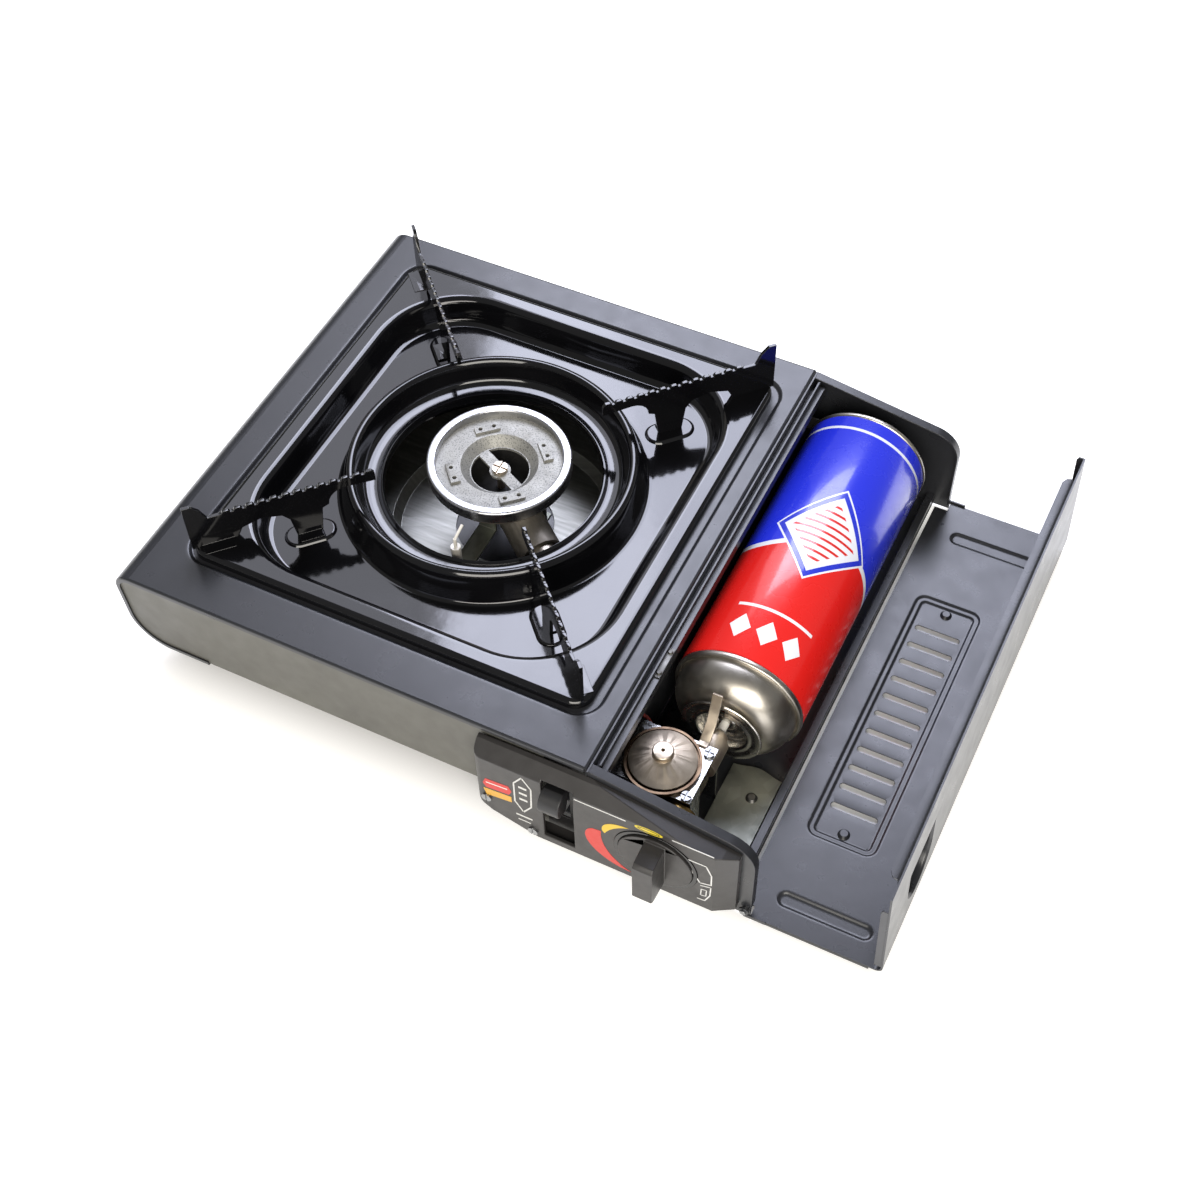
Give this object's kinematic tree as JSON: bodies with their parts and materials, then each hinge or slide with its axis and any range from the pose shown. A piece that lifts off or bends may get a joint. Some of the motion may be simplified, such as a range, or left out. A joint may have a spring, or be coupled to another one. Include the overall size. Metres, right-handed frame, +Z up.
{
  "type": "cassette stove",
  "caption": "Portable cassette gas stove with a drip pan and pot supports, a burner, a hinged lid over the gas cartridge bay, a lock lever and a control knob.",
  "frame": {"origin": "on the table, under the middle of the stove and its open lid", "axes": "+X towards the cartridge side and its lid, +Y towards the back, +Z up; the control panel faces -Y"},
  "size_m": [0.4095, 0.3022, 0.104],
  "materials": {
    "case_paint": "satin black powder coat",
    "panel_paint": "satin brown-grey paint",
    "pan_enamel": "gloss black vitreous enamel",
    "zinc_sheet": "zinc-plated sheet",
    "bright_sheet": "bright rolled sheet",
    "fastener_steel": "plated steel",
    "polished_aluminium": "polished",
    "sprayed_aluminium": "fine sand-blasted",
    "cast_aluminium": "as cast",
    "tube_steel": "drawn tube, heat tinted",
    "governor_metal": "die cast, bronze tinted",
    "governor_rim": "browned zinc casting",
    "brass": "turned",
    "copper_pipe": "drawn pipe",
    "ceramic": "white glazed",
    "igniter_plastic": "moulded",
    "lead_sleeve": "soft red sleeve",
    "panel_plastic": "fine-grained charcoal moulding",
    "ring_plastic": "gloss black",
    "foot_rubber": "moulded",
    "can_print": "gloss printed tinplate, blue and red",
    "can_tinplate": "bright tinplate",
    "stem_plastic": "white moulded"
  },
  "bodies": {
    "stove": {"top_case": "case_paint", "front_panel": "panel_paint", "rear_panel": "panel_paint", "base_plate": "case_paint", "partition_wall": "case_paint", "bay_floor": "case_paint", "bay_front_wall": "case_paint", "bay_rear_wall": "case_paint", "can_cradles": "zinc_sheet", "guide_plate": "zinc_sheet", "foot_front_left": "foot_rubber", "foot_rear_left": "foot_rubber", "bay_pads": "foot_rubber", "case_rivets": "fastener_steel", "reflector_plate": "bright_sheet", "burner_bracket": "zinc_sheet", "burner_body": "cast_aluminium", "burner_ring": "polished_aluminium", "burner_head": "sprayed_aluminium", "burner_screw": "fastener_steel", "mixing_tube": "tube_steel", "gas_injector": "brass", "gas_pipe": "copper_pipe", "ignition_electrode": "ceramic", "electrode_bracket": "zinc_sheet", "ignition_lead": "lead_sleeve", "piezo_igniter": "igniter_plastic", "governor_bracket": "bright_sheet", "governor_body": "governor_rim", "governor_cap": "governor_metal", "governor_screws": "fastener_steel", "locating_finger": "governor_metal", "gas_inlet": "governor_metal", "gas_valve": "brass", "control_panel": "panel_plastic", "dial_ring": "ring_plastic", "panel_screws": "fastener_steel", "lever_pivot": "zinc_sheet", "slide_pins": "fastener_steel", "lid_hinge_pins": "fastener_steel"},
    "lid": {"cartridge_lid": "case_paint", "lid_rivets": "case_paint"},
    "knob": {"control_knob": "panel_plastic", "valve_spindle": "fastener_steel"},
    "lever": {"lock_lever": "zinc_sheet", "lever_cap": "igniter_plastic"},
    "pusher": {"pusher_slide": "zinc_sheet"},
    "cartridge": {"cartridge_body": "can_print", "cartridge_shoulder": "can_tinplate", "cartridge_base": "can_tinplate", "cartridge_collar": "can_tinplate", "cartridge_stem": "stem_plastic"},
    "pan": {"drip_pan": "pan_enamel", "pot_support_front_left": "pan_enamel", "pot_support_front_right": "pan_enamel", "pot_support_rear_left": "pan_enamel", "pot_support_rear_right": "pan_enamel"}
  },
  "joints": [
    {"name": "lid_hinge", "type": "hinge", "parent": "stove", "child": "lid", "pos_m": [0.13625, 0.0104, 0.0068], "axis": [0, -1, 0], "range_deg": [0, 90]},
    {"name": "knob_turn", "type": "hinge", "parent": "stove", "child": "knob", "pos_m": [0.09425, -0.1271, 0.0345], "axis": [0, -1, 0], "range_deg": [0, 150]},
    {"name": "lever_turn", "type": "hinge", "parent": "stove", "child": "lever", "pos_m": [0.04025, -0.0971, 0.036], "axis": [1, 0, 0], "range_deg": [0, 40]},
    {"name": "pusher_travel", "type": "slide", "parent": "stove", "child": "pusher", "axis": [0, -1, 0], "range_m": [0, 0.006]},
    {"name": "cartridge_lift", "type": "slide", "parent": "pusher", "child": "cartridge", "axis": [0.1736, 0, 0.9848], "range_m": [0, 0.1]},
    {"name": "pan_lift", "type": "slide", "parent": "stove", "child": "pan", "axis": [0, 0, 1], "range_m": [0, 0.05]}
  ],
  "couplings": [
    {"joint": "lever_turn", "follows": "pusher_travel", "rad_per_m": 116.34}
  ]
}
